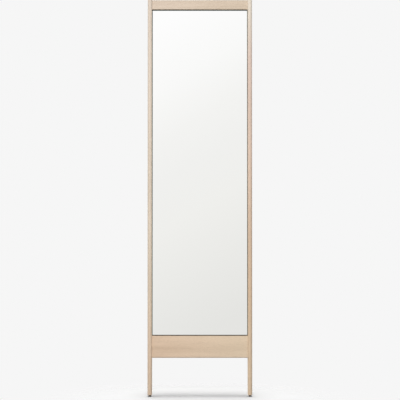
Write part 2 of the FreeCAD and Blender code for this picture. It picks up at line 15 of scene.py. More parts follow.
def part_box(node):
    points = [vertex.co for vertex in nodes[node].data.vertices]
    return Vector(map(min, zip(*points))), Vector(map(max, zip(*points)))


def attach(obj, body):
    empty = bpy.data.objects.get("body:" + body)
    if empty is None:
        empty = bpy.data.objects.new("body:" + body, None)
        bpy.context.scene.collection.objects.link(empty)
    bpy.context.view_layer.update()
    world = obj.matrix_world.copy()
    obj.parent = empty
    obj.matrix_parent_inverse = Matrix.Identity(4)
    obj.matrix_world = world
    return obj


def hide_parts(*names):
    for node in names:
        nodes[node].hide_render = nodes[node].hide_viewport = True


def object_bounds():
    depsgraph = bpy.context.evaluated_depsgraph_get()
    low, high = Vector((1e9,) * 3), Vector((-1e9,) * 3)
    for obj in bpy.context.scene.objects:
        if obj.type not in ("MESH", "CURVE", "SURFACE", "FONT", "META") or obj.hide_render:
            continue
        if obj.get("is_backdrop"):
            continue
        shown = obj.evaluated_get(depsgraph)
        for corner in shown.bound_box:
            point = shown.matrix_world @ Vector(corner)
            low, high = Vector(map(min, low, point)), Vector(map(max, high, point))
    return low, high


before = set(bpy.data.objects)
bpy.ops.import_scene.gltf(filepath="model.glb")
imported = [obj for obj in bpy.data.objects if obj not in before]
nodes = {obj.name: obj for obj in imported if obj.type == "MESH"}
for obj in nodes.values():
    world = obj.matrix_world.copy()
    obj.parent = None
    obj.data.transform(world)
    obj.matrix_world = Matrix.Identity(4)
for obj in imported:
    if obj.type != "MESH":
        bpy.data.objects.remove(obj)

MM = 0.001
QUARTER_TURN = math.radians(90)

scene = bpy.context.scene
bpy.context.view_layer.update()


# %% [markdown]
# The photograph looks straight at the mirror, level with its middle. The real one leans back a
# little, so its head is slightly narrower in the picture than its feet. The part stands upright, so
# the camera takes the lean instead: it sits lower by the same angle and looks up by it. A long
# lens from five metres away keeps the stiles nearly parallel, and the lens follows from how many
# millimetres a pixel covers.

# %% Camera
PICTURE_SIDE = 400
PIXEL = 4.93 * MM
MIDDLE_COLUMN, MIDDLE_HEIGHT = 199.86, 0.9662
CAMERA_DISTANCE = 5.0
SENSOR_WIDTH = 36
LEAN = math.radians(0.8)
STILE_WIDEST = -6 * MM

camera_data = bpy.data.cameras.new("camera")
camera_data.sensor_width = SENSOR_WIDTH
camera_data.lens = SENSOR_WIDTH * CAMERA_DISTANCE / (PICTURE_SIDE * PIXEL)
camera = bpy.data.objects.new("camera", camera_data)
camera.location = (
    (PICTURE_SIDE / 2 - MIDDLE_COLUMN) * PIXEL,
    STILE_WIDEST - CAMERA_DISTANCE * math.cos(LEAN),
    MIDDLE_HEIGHT - CAMERA_DISTANCE * math.sin(LEAN),
)
camera.rotation_euler = (QUARTER_TURN + LEAN, 0, 0)
scene.collection.objects.link(camera)
scene.camera = camera
scene.view_settings.view_transform = "Standard"
print("lens in mm:", round(camera_data.lens, 1), "camera height:", round(camera.location.z, 3))


# %% [markdown]
# Finishes and light are built from nodes. A few small helpers keep each recipe readable: one adds
# a node and sets its sockets and options by name, one feeds a socket from another socket or a
# plain value, and the rest make the steps that nearly every recipe needs. Colours are written as
# they look on a screen, from 0 to 255, and turned into the linear light that shaders expect.

# %% Helpers for node trees
WHITE_LEVEL = 255


def screen_colour(red, green, blue):
    """A colour as seen on a screen, as linear light with full opacity."""
    shares = [level / WHITE_LEVEL for level in (red, green, blue)]
    return (*Color(shares).from_srgb_to_scene_linear(), 1.0)


def feed(tree, socket, value):
    """Link a socket to another one, or set it to a plain value."""
    if isinstance(value, bpy.types.NodeSocket):
        tree.links.new(value, socket)
    else:
        socket.default_value = value


def add_node(tree, kind, **settings):
    """A node of that kind. Settings name its sockets, with _ for a space, or else its options."""
    node = tree.nodes.new("ShaderNode" + kind)
    for name, value in settings.items():
        socket = node.inputs.get(name.replace("_", " "))
        if socket is None:
            setattr(node, name, value)
        else:
            feed(tree, socket, value)
    return node


def work_out(tree, operation, *values, kind="Math"):
    """The result of one Math or VectorMath node, from sockets or plain values."""
    node = add_node(tree, kind, operation=operation)
    for socket, value in zip(node.inputs, values):
        feed(tree, socket, value)
    return node.outputs[0]


def soft_step(tree, value, start, end, low=0.0, high=1.0):
    """How far a value has come from start to end, given as low to high with soft ends."""
    node = add_node(
        tree, "MapRange", interpolation_type="SMOOTHSTEP",
        Value=value, From_Min=start, From_Max=end, To_Min=low, To_Max=high,
    )
    return node.outputs[0]


def shade_along(tree, value, shades):
    """Colours at places along a value, each passing into the next."""
    places = sorted(shades)
    first, last = places[0], places[-1]
    share = add_node(tree, "MapRange", Value=value, From_Min=first, From_Max=last)
    ramp = add_node(tree, "ValToRGB", Fac=share.outputs[0])
    steps = ramp.color_ramp.elements
    for place in places[1:-1]:
        steps.new((place - first) / (last - first))
    for step, place in zip(steps, places):
        step.color = screen_colour(*shades[place])
    return ramp.outputs["Color"]


def mix_shaders(tree, share, first, second):
    """The first shader where the share is 0 and the second where it is 1."""
    mixed = add_node(tree, "MixShader", Fac=share)
    feed(tree, mixed.inputs[1], first.outputs[0])
    feed(tree, mixed.inputs[2], second.outputs[0])
    return mixed


half_level = WHITE_LEVEL / 2
half_light = screen_colour(half_level, half_level, half_level)
print("half of a screen's white, as light:", round(half_light[0], 3))


# %% [markdown]
# The light is a plain studio, and most of it comes from the room itself. A world can be shaded by
# the direction of a ray, so a few soft steps make a white room that is dimmer below and at the
# sides, with a bright wall behind, so that the back and the flanks can be seen too. Many lamps could
# do the same, but each would cast a shadow of its own.

# %% Room light
ROOM_LIGHT = 0.6
BELOW_FADES, BELOW_SHARE = (0.2, -0.7), 0.1
SIDES_FADE, SIDE_SHARE = (0.3, 1.0), 0.3
BEHIND_RISES, BEHIND_SHARE = (0.05, 0.5), 1.7
BRIGHTEST_SIDE = -0.3

world = bpy.data.worlds.new("studio")
world.use_nodes = True
scene.world = world
room = world.node_tree
direction = add_node(room, "TexCoord").outputs["Generated"]
along = add_node(room, "SeparateXYZ", Vector=direction).outputs

from_below = soft_step(room, along["Z"], *BELOW_FADES, ROOM_LIGHT, ROOM_LIGHT * BELOW_SHARE)
aside = work_out(room, "ABSOLUTE", work_out(room, "SUBTRACT", along["X"], BRIGHTEST_SIDE))
from_side = soft_step(room, aside, *SIDES_FADE, 1.0, SIDE_SHARE)
from_behind = soft_step(room, along["Y"], *BEHIND_RISES, 0.0, BEHIND_SHARE)
around = work_out(room, "ADD", from_side, from_behind)
soft_light = room.nodes["Background"]
soft_light.inputs["Color"].default_value = screen_colour(255, 255, 255)
feed(room, soft_light.inputs["Strength"], work_out(room, "MULTIPLY", from_below, around))
print("room light:", ROOM_LIGHT, "below:", BELOW_SHARE, "aside:", SIDE_SHARE, "behind:", BEHIND_SHARE)


# %% [markdown]
# What a looking glass sees is most of its look. In the photograph it shows a room that glows at the
# upper left and greys towards its floor. One gradient over the direction of the ray paints that
# view, so the glass needs no picture to reflect. The world then answers each kind of ray in its own
# way: the camera sees a flat pale grey, glossy rays see the painted room, and all others carry the
# soft light.

# %% Room in the glass
BACKDROP = screen_colour(246, 246, 246)
GLOW_TO_THE_LEFT = -0.6
ROOM_SHADES = {
    -0.12: (230, 230, 227),
    -0.03: (238, 238, 235),
    0.005: (241, 241, 238),
    0.055: (242, 242, 240),
    0.095: (245, 245, 243),
    0.145: (251, 251, 250),
    0.21: (255, 255, 255),
}

rays = add_node(room, "LightPath").outputs
height = work_out(room, "MULTIPLY_ADD", along["X"], GLOW_TO_THE_LEFT, along["Z"])
reflected = add_node(room, "Background", Color=shade_along(room, height, ROOM_SHADES))
seen = add_node(room, "Background", Color=BACKDROP)
in_glass = mix_shaders(room, rays["Is Glossy Ray"], soft_light, reflected)
in_camera = mix_shaders(room, rays["Is Camera Ray"], in_glass, seen)
feed(room, room.nodes["World Output"].inputs["Surface"], in_camera.outputs[0])
print("room shades at heights:", list(ROOM_SHADES))


# %% [markdown]
# Three lamps add shape. A large soft one stands behind the camera, a little to the left, and rounds
# the stiles. A tall narrow one stands nearer, before the middle of the glass. It reaches the inner
# sides of both stiles, which are their brighter sides in the photograph, and a low lamp there would
# leave a bright spot halfway up. A soft light from straight above draws the narrow shadow between
# the feet. It is linked to the floor alone, because it would burn the top edge of the head rail,
# which is no brighter than its face in the photograph. No lamp is seen in glossy rays, so none shows
# in the looking glass.

# %% Lamps
KEY_PLACE, KEY_SIDE, KEY_POWER = (-0.3, -6.0, 1.2), 2.4, 130
STRIP_PLACE, STRIP_WIDTH, STRIP_HEIGHT, STRIP_POWER = (-0.1, -1.8, 1.5), 0.5, 3.0, 15.3
ABOVE_PLACE, ABOVE_POWER = (0.0, 0.0, 3.0), 7.3
ABOVE_TILT, ABOVE_SPREAD = math.radians(0.5), math.radians(8.6)
FACING_BACK = (QUARTER_TURN, 0.0, 0.0)


def hang_lamp(name, kind, place, turn):
    """A lamp at a place, turned there, that glossy rays don't see."""
    lamp = bpy.data.objects.new(name, bpy.data.lights.new(name, kind))
    lamp.location = place
    lamp.rotation_euler = turn
    lamp.visible_glossy = False
    scene.collection.objects.link(lamp)
    print("lamp", name, "at", place)
    return lamp


key = hang_lamp("wide_key", "AREA", KEY_PLACE, FACING_BACK)
key.data.size, key.data.energy = KEY_SIDE, KEY_POWER
strip = hang_lamp("tall_strip", "AREA", STRIP_PLACE, FACING_BACK)
strip.data.shape = "RECTANGLE"
strip.data.size, strip.data.size_y = STRIP_WIDTH, STRIP_HEIGHT
strip.data.energy = STRIP_POWER
above = hang_lamp("from_above", "SUN", ABOVE_PLACE, (ABOVE_TILT, 0.0, 0.0))
above.data.energy, above.data.angle = ABOVE_POWER, ABOVE_SPREAD
lit_from_above = bpy.data.collections.new("lit_from_above")
above.light_linking.receiver_collection = lit_from_above


# %% [markdown]
# The floor only has to carry the shadow. It is an oval sheet under the feet, as pale as the
# backdrop once the lamp above lights it. A wide plane would draw a horizon across the picture, so
# the sheet turns clear towards its rim instead.

# %% Floor
FLOOR_RADIUS, FLOOR_SOLID_RADIUS = 0.42, 0.2
FLOOR_STRETCH = 1.9
FLOOR_SIDES = 64
FLOOR_TONE = screen_colour(146, 146, 146)


def as_object(shape, name):
    """An object with the shape as its mesh. The shape is used up."""
    mesh = bpy.data.meshes.new(name)
    shape.to_mesh(mesh)
    shape.free()
    thing = bpy.data.objects.new(name, mesh)
    scene.collection.objects.link(thing)
    return thing


oval = bmesh.new()
bmesh.ops.create_circle(oval, cap_ends=True, radius=FLOOR_RADIUS, segments=FLOOR_SIDES)
bmesh.ops.scale(oval, vec=(FLOOR_STRETCH, 1, 1), verts=oval.verts)
floor = as_object(oval, "floor")
lit_from_above.objects.link(floor)
floor.visible_diffuse = False
floor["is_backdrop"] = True

floor_finish = bpy.data.materials.new("floor")
floor_finish.use_nodes = True
tree = floor_finish.node_tree
place = add_node(tree, "TexCoord").outputs["Object"]
rounded = add_node(tree, "Mapping", Vector=place, Scale=(1 / FLOOR_STRETCH, 1, 1))
reach = add_node(tree, "VectorMath", operation="LENGTH", Vector=rounded.outputs[0])
fade = soft_step(tree, reach.outputs["Value"], FLOOR_SOLID_RADIUS, FLOOR_RADIUS)
paint = add_node(tree, "BsdfDiffuse", Color=FLOOR_TONE)
fading = mix_shaders(tree, fade, paint, add_node(tree, "BsdfTransparent"))
feed(tree, tree.nodes["Material Output"].inputs["Surface"], fading.outputs[0])
floor.data.materials.append(floor_finish)
print("floor across:", round(2 * FLOOR_RADIUS * FLOOR_STRETCH, 2), "deep:", 2 * FLOOR_RADIUS)


# %% [markdown]
# Every finish starts from the same few moves: a shader, a place on the piece to hang the pattern on,
# and soft noise that can be drawn out along one direction. The pattern then colours the surface,
# roughens it and dents it. Object coordinates are used all through, because each piece keeps its
# place in its mesh, so a pattern sits still on the mirror.

# %% Helpers for finishes
def start_finish(name, **sockets):
    """A new material, its node tree, its shader with plain values set, and the place on a piece."""
    finish = bpy.data.materials.new(name)
    finish.use_nodes = True
    tree = finish.node_tree
    shader = tree.nodes["Principled BSDF"]
    for socket, value in sockets.items():
        feed(tree, shader.inputs[socket.replace("_", " ")], value)
    return finish, tree, shader, add_node(tree, "TexCoord").outputs["Object"]


def cloud(tree, place, lumps, draw=(1, 1, 1), detail=2.0, between=None):
    """Soft noise with so many lumps to a metre, longer where draw is under one.

    Between gives the two noise values that become 0 and 1.
    """
    drawn = add_node(tree, "Mapping", Vector=place, Scale=draw).outputs[0]
    noise = add_node(tree, "TexNoise", Vector=drawn, Scale=lumps, Detail=detail).outputs[0]
    return soft_step(tree, noise, *between) if between else noise


def blend(tree, share, first, second, way="MIX"):
    """Two colours mixed by a share, each a socket or a plain colour."""
    node = add_node(tree, "Mix", data_type="RGBA", blend_type=way)
    colours = [socket for socket in node.inputs if socket.type == "RGBA"]
    feed(tree, node.inputs[0], share)
    feed(tree, colours[0], first)
    feed(tree, colours[1], second)
    return next(socket for socket in node.outputs if socket.type == "RGBA")


def colour(tree, shader, share, first, second):
    """Colour the surface from a first tone to a second, by a share from 0 to 1."""
    feed(tree, shader.inputs["Base Color"], blend(tree, share, first, second))


def roughen(tree, shader, share, first, second, between=(0.0, 1.0)):
    """Change the roughness from a first value to a second, as a share passes between two values."""
    feed(tree, shader.inputs["Roughness"], soft_step(tree, share, *between, first, second))


def emboss(tree, shader, height, depth, strength=1.0):
    """Let a height, from 0 to 1, dent the surface by so many metres."""
    bump = add_node(tree, "Bump", Height=height, Distance=depth, Strength=strength)
    feed(tree, shader.inputs["Normal"], bump.outputs[0])


print("what a pattern can do to a finish:", [step.__name__ for step in (colour, roughen, emboss)])


# %% [markdown]
# The frame is pale, matt oak. Oak shows three things at three scales: growth rings a few millimetres
# apart, short dark pores along the start of each ring, and slow drifts of tone along the board.
# A flat picture of grain would smear over the round stiles, so the grain is solid: rings run around
# a heart line beside the board, and every face cuts through them, end grain included. No trunk is
# straight, so noise lets the rings wander. The wave texture multiplies a distance by twenty before
# it draws a wave over it, and the scale makes up for that.

# %% Growth rings
RING_PITCH = 2.8 * MM
WAVE_FACTOR = 20
EARLY_WOOD = (0.9, 0.1)
WANDER = (0.016, 0.016, 0.016)
WANDER_LUMPS, WANDER_DETAIL, WANDER_DRAW = 7, 3, (1, 1, 0.12)
NOISE_MIDDLE = (0.5, 0.5, 0.5)


def growth_rings(tree, board):
    """How early in its year the wood at a place grew, from 1 at the start of a ring to 0."""
    drawn = add_node(tree, "Mapping", Vector=board, Scale=WANDER_DRAW).outputs[0]
    noise = add_node(tree, "TexNoise", Vector=drawn, Scale=WANDER_LUMPS, Detail=WANDER_DETAIL)
    sway = noise.outputs["Color"]
    centred = work_out(tree, "SUBTRACT", sway, NOISE_MIDDLE, kind="VectorMath")
    wander = work_out(tree, "MULTIPLY", centred, WANDER, kind="VectorMath")
    rings = add_node(
        tree, "TexWave", wave_type="RINGS", rings_direction="Z", wave_profile="SAW",
        Vector=work_out(tree, "ADD", wander, board, kind="VectorMath"),
        Scale=math.tau / (WAVE_FACTOR * RING_PITCH),
    )
    return soft_step(tree, rings.outputs["Fac"], *EARLY_WOOD)


print("rings to a metre:", round(1 / RING_PITCH))


# %% [markdown]
# The oak finish lays these over a tone that changes slowly along the board. Rings and pores darken
# it by multiplying, so they stay in keeping with whatever tone lies below. Pores are open, so they
# are also rougher and deeper than the wood around them. One rail has a darker mineral streak near
# its foot, which dies out to the right.

# %% Oak finish
OAK_DRIFTS = {"lumps": 34, "draw": (1, 1, 0.09), "between": (0.3, 0.7)}
OAK_PORES = {"lumps": 4200, "draw": (1, 1, 0.02), "detail": 1.0, "between": (0.56, 0.66)}
LIGHT_DRIFT, DARK_DRIFT = (1.035, 1.03, 1.025, 1), (0.955, 0.945, 0.93, 1)
RING_TONE, PORE_TONE = (0.925, 0.90, 0.865, 1), (0.70, 0.66, 0.60, 1)
PORE_SEASON, LATE_PORES = (0.1, 0.9), 0.25
OAK_GLOSS = (0.52, 0.75)
OAK_RELIEF, OAK_RELIEF_STRENGTH, RING_DIP = 0.12 * MM, 0.6, -0.25
STREAK_FADES, STREAK_LEFT_OVER = (-0.13, 0.05), 0.3


def mineral_streak(tree, place, height, half_width, strength):
    """The share of a streak along a lying board, strongest at its left end."""
    along = add_node(tree, "SeparateXYZ", Vector=place).outputs
    off = work_out(tree, "ABSOLUTE", work_out(tree, "SUBTRACT", along["Z"], height))
    near = soft_step(tree, off, half_width, 0.0, 0.0, strength)
    fading = soft_step(tree, along["X"], *STREAK_FADES, 1.0, STREAK_LEFT_OVER)
    return work_out(tree, "MULTIPLY", near, fading)


def make_oak(name, tones, heart, turn=(0, 0, 0), streak=None):
    """Oak with tones along its length, which is z after a turn, and a heart line beside it."""
    oak, tree, shader, place = start_finish(name, Specular_IOR_Level=0.35)
    board = add_node(tree, "Mapping", Vector=place, Location=heart, Rotation=turn).outputs[0]
    length = add_node(tree, "SeparateXYZ", Vector=board).outputs["Z"]
    drift = blend(tree, cloud(tree, board, **OAK_DRIFTS), DARK_DRIFT, LIGHT_DRIFT)
    tone = blend(tree, 1.0, shade_along(tree, length, tones), drift, "MULTIPLY")

    early = growth_rings(tree, board)
    tone = blend(tree, early, tone, RING_TONE, "MULTIPLY")
    season = soft_step(tree, early, *PORE_SEASON, LATE_PORES, 1.0)
    pores = work_out(tree, "MULTIPLY", cloud(tree, board, **OAK_PORES), season)
    tone = blend(tree, pores, tone, PORE_TONE, "MULTIPLY")
    if streak:
        tone = blend(tree, mineral_streak(tree, place, **streak), tone, PORE_TONE, "MULTIPLY")

    feed(tree, shader.inputs["Base Color"], tone)
    roughen(tree, shader, pores, *OAK_GLOSS)
    closed = work_out(tree, "SUBTRACT", 1.0, pores)
    relief = work_out(tree, "MULTIPLY_ADD", early, RING_DIP, closed)
    emboss(tree, shader, relief, OAK_RELIEF, OAK_RELIEF_STRENGTH)
    return oak


pore = [1 / (OAK_PORES["lumps"] * MM * share) for share in OAK_PORES["draw"]]
print("a pore is about so large, in mm:", [round(side, 1) for side in pore])


# %% [markdown]
# No two boards are cut from one trunk, so each has tones of its own along its length. The right
# stile is the warmer one, and both stiles are paler towards the head. The palest tone, at the very
# head of the right stile, is a painted highlight where light falls on it. A rail lies on its side,
# so its pattern is turned to run along it.

# %% Four boards of oak
STILE_HEART = (0.0, -0.1, 0.0)
TOP_RAIL_HEART, BOTTOM_RAIL_HEART = (1.893, -0.05, 0.0), (0.349, -0.06, 0.0)
LYING = (0, -QUARTER_TURN, 0)
RAIL_STREAK = {"height": 0.238, "half_width": 0.014, "strength": 0.26}

oak = {
    "left_stile": make_oak(
        "left_stile_oak", heart=STILE_HEART,
        tones={0.2: (229, 206, 183), 0.7: (229, 214, 196), 1.6: (232, 218, 204)},
    ),
    "right_stile": make_oak(
        "right_stile_oak", heart=STILE_HEART,
        tones={
            # the last tone, at 1.9, is a painted highlight on the head of this stile
            0.25: (224, 201, 174), 0.5: (220, 193, 165), 1.65: (231, 209, 197), 1.9: (243, 233, 220),
        },
    ),
    "top_rail": make_oak(
        "top_rail_oak", heart=TOP_RAIL_HEART, turn=LYING,
        tones={-0.2: (228, 211, 194), 0.2: (225, 208, 188)},
    ),
    "bottom_rail": make_oak(
        "bottom_rail_oak", heart=BOTTOM_RAIL_HEART, turn=LYING, streak=RAIL_STREAK,
        tones={-0.2: (229, 204, 180), 0.2: (231, 211, 186)},
    ),
}
print("oak finishes:", [finish.name for finish in oak.values()])


# %% [markdown]
# The wooden pieces are made as a joiner makes them: a squared block, edges rounded over, then the
# recesses routed out and the holes bored. Blocks are drawn in millimetres between two corners.
# Edges are picked by where they lie, which still works after other edges were rounded, and rounding
# is a bevel. A trial block shows what these do.

# %% Blocks and rounded edges
NEAR = 0.02
TRIAL_SIZE, TRIAL_ROUND = Vector((30, 20, 10)), 4


def block(low, high):
    """A block between two corners, in millimetres, for the next steps to shape."""
    shape = bmesh.new()
    bmesh.ops.create_cube(shape, size=1)
    low, high = Vector(low), Vector(high)
    bmesh.ops.scale(shape, vec=high - low, verts=shape.verts)
    bmesh.ops.translate(shape, vec=(low + high) / 2, verts=shape.verts)
    return shape


def edges_at(shape, **places):
    """The edges that lie at the given x, y or z."""
    def lies(edge):
        ends = [vert.co for vert in edge.verts]
        return all(abs(getattr(end, axis) - at) < NEAR for end in ends for axis, at in places.items())
    return [edge for edge in shape.edges if lies(edge)]


def rims(shape, front, back):
    """The edges round the front and the back of a flat shape."""
    return edges_at(shape, y=front) + edges_at(shape, y=back)


def corners(shape, low, high):
    """The edges from front to back at the four corners of a shape between low and high."""
    places = [(x, z) for x in (low.x, high.x) for z in (low.z, high.z)]
    return [edge for x, z in places for edge in edges_at(shape, x=x, z=z)]


def round_edges(shape, edges, radius, segments=6):
    """Round edges over to a radius; one segment makes a plain chamfer."""
    bmesh.ops.bevel(
        shape, geom=edges, offset=radius, segments=segments, profile=0.5, affect="EDGES", material=-1,
    )
    bmesh.ops.remove_doubles(shape, verts=shape.verts, dist=NEAR)


trial = block((0, 0, 0), TRIAL_SIZE)
round_edges(trial, edges_at(trial, x=TRIAL_SIZE.x), TRIAL_ROUND)
print("trial block with one end rounded over:", len(trial.faces), "faces")


# %% [markdown]
# Routing is a Boolean with the shape of the cutter's path, which is safer than picking faces by hand
# where a recess runs into a rounded edge. Each hole is bored with the solid that later fills it,
# a dowel, a screw or a stem, so the two always fit. The trial block loses a corner here. A finished
# piece is turned into metres, shaded smooth up to its sharp edges, and takes the place of its solid.

# %% Routing, boring and finishing a piece
SHARP = math.radians(40)
MERGED = NEAR / 10


def rout(shape, cutter):
    """The shape with the cutter's room taken out of it. Both are used up."""
    wood, bit = as_object(shape, "wood"), as_object(cutter, "bit")
    cut = wood.modifiers.new("cut", "BOOLEAN")
    cut.operation = "DIFFERENCE"
    cut.solver = "EXACT"
    cut.object = bit
    worked = wood.evaluated_get(bpy.context.evaluated_depsgraph_get())
    mesh = bpy.data.meshes.new_from_object(worked)
    result = bmesh.new()
    result.from_mesh(mesh)
    for used in (mesh, wood.data, bit.data):
        bpy.data.meshes.remove(used)
    return result


def bore(shape, *names):
    """The shape with holes for dowels, screws or stems, each cut by that node's own solid."""
    for name in names:
        bit = bmesh.new()
        bit.from_mesh(nodes[name].data)
        bmesh.ops.transform(bit, matrix=nodes[name].matrix_world, verts=bit.verts)
        bmesh.ops.scale(bit, vec=(1 / MM, 1 / MM, 1 / MM), verts=bit.verts)
        bmesh.ops.remove_doubles(bit, verts=bit.verts, dist=MERGED)
        shape = rout(shape, bit)
    return shape


def keep_piece(shape, name, finishes, replaced):
    """Make the shape a finished piece of the mirror in place of a CAD node, and print its size."""
    bmesh.ops.scale(shape, vec=(MM, MM, MM), verts=shape.verts)
    bmesh.ops.remove_doubles(shape, verts=shape.verts, dist=NEAR * MM)
    bmesh.ops.recalc_face_normals(shape, faces=shape.faces)
    piece = as_object(shape, name)
    piece.data.shade_smooth()
    piece.data.set_sharp_from_angle(angle=SHARP)
    for finish in finishes:
        piece.data.materials.append(finish)
    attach(piece, "root")
    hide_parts(replaced)
    sides = [round(side / MM, 1) for side in piece.dimensions]
    print(name, "faces:", len(piece.data.polygons), "mm:", sides)


trial = rout(trial, block(-TRIAL_SIZE, TRIAL_SIZE / 2))
print("trial block with a corner routed out:", len(trial.faces), "faces")
trial.free()


# %% [markdown]
# A stile is the long upright at each side: a strip with a half-round front, softly rounded back
# edges, and a foot that is eased all round. Behind, a rebate with round ends takes the back panel.
# Two wide bevels on the front edges all but meet in the middle and give the half round, which is
# simpler than sweeping a profile, because the same bevel then rounds the ends.

# %% Stiles
HANDS = ("left", "right")
STILE_INNER, STILE_OUTER = 235.5, 257.5
STILE_FRONT, STILE_BACK = -17.0, 15.0
STILE_FOOT, FRAME_TOP = 7.0, 1955.0
HALF_ROUND = 10.995
STILE_BACK_ROUND, STILE_TOP_ROUND, STILE_FOOT_ROUND = 6.0, 2.0, 3.5
OPENING_LOW, OPENING_HIGH = 298.0, 1908.0
REBATE_FLOOR, REBATE_WIDTH = 1.3, 10.0
PAST = 20.0


def stile_blank(left, right):
    """A stile before its rebate is routed: a strip between two places across, rounded over."""
    shape = block((left, STILE_FRONT, STILE_FOOT), (right, STILE_BACK, FRAME_TOP))
    fronts = [edge for x in (left, right) for edge in edges_at(shape, x=x, y=STILE_FRONT)]
    round_edges(shape, fronts, HALF_ROUND, segments=14)
    backs = [edge for x in (left, right) for edge in edges_at(shape, x=x, y=STILE_BACK)]
    round_edges(shape, backs, STILE_BACK_ROUND)
    round_edges(shape, edges_at(shape, z=STILE_FOOT), STILE_FOOT_ROUND)
    round_edges(shape, edges_at(shape, z=FRAME_TOP), STILE_TOP_ROUND, segments=4)
    return shape


def rebate_cutter(deep, open_side):
    """The path of a cutter along a stile, round where it stops, from its deep to its open side."""
    ends = (OPENING_LOW - REBATE_WIDTH, OPENING_HIGH + REBATE_WIDTH)
    left, right = sorted((deep, open_side))
    cutter = block((left, REBATE_FLOOR, ends[0]), (right, STILE_BACK + PAST, ends[1]))
    stops = [edge for z in ends for edge in edges_at(cutter, x=deep, z=z)]
    round_edges(cutter, stops, REBATE_WIDTH, segments=8)
    return cutter


for hand, side in zip(HANDS, (-1, 1)):
    shape = stile_blank(*sorted((side * STILE_INNER, side * STILE_OUTER)))
    cutter = rebate_cutter(side * (STILE_INNER + REBATE_WIDTH), side * (STILE_INNER - PAST))
    stems = f"{hand}_wall_buffer", f"{hand}_foot_glide"
    dowels = f"top_{hand}_dowels", f"bottom_{hand}_dowels"
    shape = bore(rout(shape, cutter), "back_panel_side_screws", *dowels, *stems)
    stile = f"{hand}_stile"
    keep_piece(shape, f"{stile}_oak", [oak[stile]], stile)


# %% [markdown]
# Two rails join the stiles: a low one at the head and a deep one below the glass. Each is a flat
# board set back from the stiles' round fronts, with its outer edges eased. The rebate runs straight
# through behind the opening. The head rail also has, on its back, a seat for each hanger plate and
# a deeper pocket under it, where the head of a wall screw finds room. Seat, pocket, plate and slot
# are all flat with half-round ends, so one helper makes them all from a block.

# %% Rails
RAIL_FRONT, RAIL_BACK = -8.0, 10.0
RAIL_OUTER_ROUND, RAIL_OPENING_ROUND, RAIL_BACK_ROUND = 7.0, 1.5, 2.0
BOTTOM_RAIL_LOW = 189.0
SEAT_PLAY = 0.2
POCKET_WIDTH, POCKET_HEIGHT, POCKET_FLOOR = 12.0, 21.0, 2.0


def make_rail(low, high, outer):
    """The rail between two heights, whose outer edge is the one away from the opening."""
    shape = block((-STILE_INNER, RAIL_FRONT, low), (STILE_INNER, RAIL_BACK, high))
    inner = low if outer == high else high
    round_edges(shape, edges_at(shape, y=RAIL_FRONT, z=outer), RAIL_OUTER_ROUND)
    round_edges(shape, edges_at(shape, y=RAIL_FRONT, z=inner), RAIL_OPENING_ROUND, segments=4)
    round_edges(shape, edges_at(shape, y=RAIL_BACK, z=outer), RAIL_BACK_ROUND, segments=4)
    bottom, top = inner - REBATE_WIDTH, inner + REBATE_WIDTH
    cutter = block((-STILE_OUTER, REBATE_FLOOR, bottom), (STILE_OUTER, RAIL_BACK + PAST, top))
    return rout(shape, cutter)


def box_of(name):
    """The two corners of a node's box, in millimetres."""
    return [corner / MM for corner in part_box(name)]


def long_round(middle, width, height, front, back):
    """A flat block with half-round ends, lying or standing, around a middle point in x and z."""
    half = Vector((width / 2, 0, height / 2))
    low = Vector((middle[0], front, middle[1])) - half
    high = Vector((middle[0], back, middle[1])) + half
    shape = block(low, high)
    round_edges(shape, corners(shape, low, high), min(width, height) / 2 - NEAR / 2, segments=10)
    return shape


def plate_box(hand):
    """Middle in x and z, width, height, front and back of a hanger plate, in millimetres."""
    low, high = box_of(f"{hand}_hanger_plate")
    middle = (low + high) / 2
    return (middle.x, middle.z), high.x - low.x, high.z - low.z, low.y, high.y


head_rail = make_rail(OPENING_HIGH, FRAME_TOP, outer=FRAME_TOP)
for hand in HANDS:
    middle, width, height, front, back = plate_box(hand)
    seat = long_round(middle, width + SEAT_PLAY, height + SEAT_PLAY, front, back + PAST)
    pocket = long_round(middle, POCKET_WIDTH, POCKET_HEIGHT, POCKET_FLOOR, back)
    head_rail = rout(rout(head_rail, seat), pocket)
head_rail = bore(head_rail, "top_left_dowels", "top_right_dowels")
head_rail = bore(head_rail, "left_hanger_screws", "right_hanger_screws", "back_panel_end_screws")
keep_piece(head_rail, "top_rail_oak", [oak["top_rail"]], "top_rail")

foot_rail = make_rail(BOTTOM_RAIL_LOW, OPENING_LOW, outer=BOTTOM_RAIL_LOW)
foot_rail = bore(foot_rail, "bottom_left_dowels", "bottom_right_dowels", "back_panel_end_screws")
keep_piece(foot_rail, "bottom_rail_oak", [oak["bottom_rail"]], "bottom_rail")


# %% [markdown]
# The looking glass is a sheet of float glass, silvered behind. It reflects from its back, so all
# of its face looks like one mirror, and a mirror finish on the front face stands for both. Light
# that strikes it aslant crosses more glass and comes back greener, and no float glass is quite flat,
# so the finish has both. The ground arris and the cut edge show the green-grey of the glass itself.

# %% Looking glass
GLASS_ARRIS = 0.6
FACING_FRONT = -0.9
SILVER, SILVER_ASLANT = screen_colour(253, 253, 253), screen_colour(222, 238, 228)
SLANT_BLEND = 0.2
GLASS_HAZE, HAZE_BETWEEN = {"lumps": 9, "detail": 4.0}, (0.35, 0.75)
GLASS_GLOSS = (0.004, 0.02)
GLASS_WAVES, WAVE_DEPTH = {"lumps": 3, "detail": 0.0}, 0.05 * MM
EDGE_PALE, EDGE_DEEP = screen_colour(172, 194, 182), screen_colour(118, 150, 136)
GRINDING, GRINDING_DEPTH = {"lumps": 900, "detail": 3.0}, 0.02 * MM

silver, tree, shader, place = start_finish("silver_behind_glass", Metallic=1.0)
slant = add_node(tree, "LayerWeight", Blend=SLANT_BLEND).outputs["Facing"]
colour(tree, shader, slant, SILVER, SILVER_ASLANT)
roughen(tree, shader, cloud(tree, place, **GLASS_HAZE), *GLASS_GLOSS, between=HAZE_BETWEEN)
emboss(tree, shader, cloud(tree, place, **GLASS_WAVES), WAVE_DEPTH)

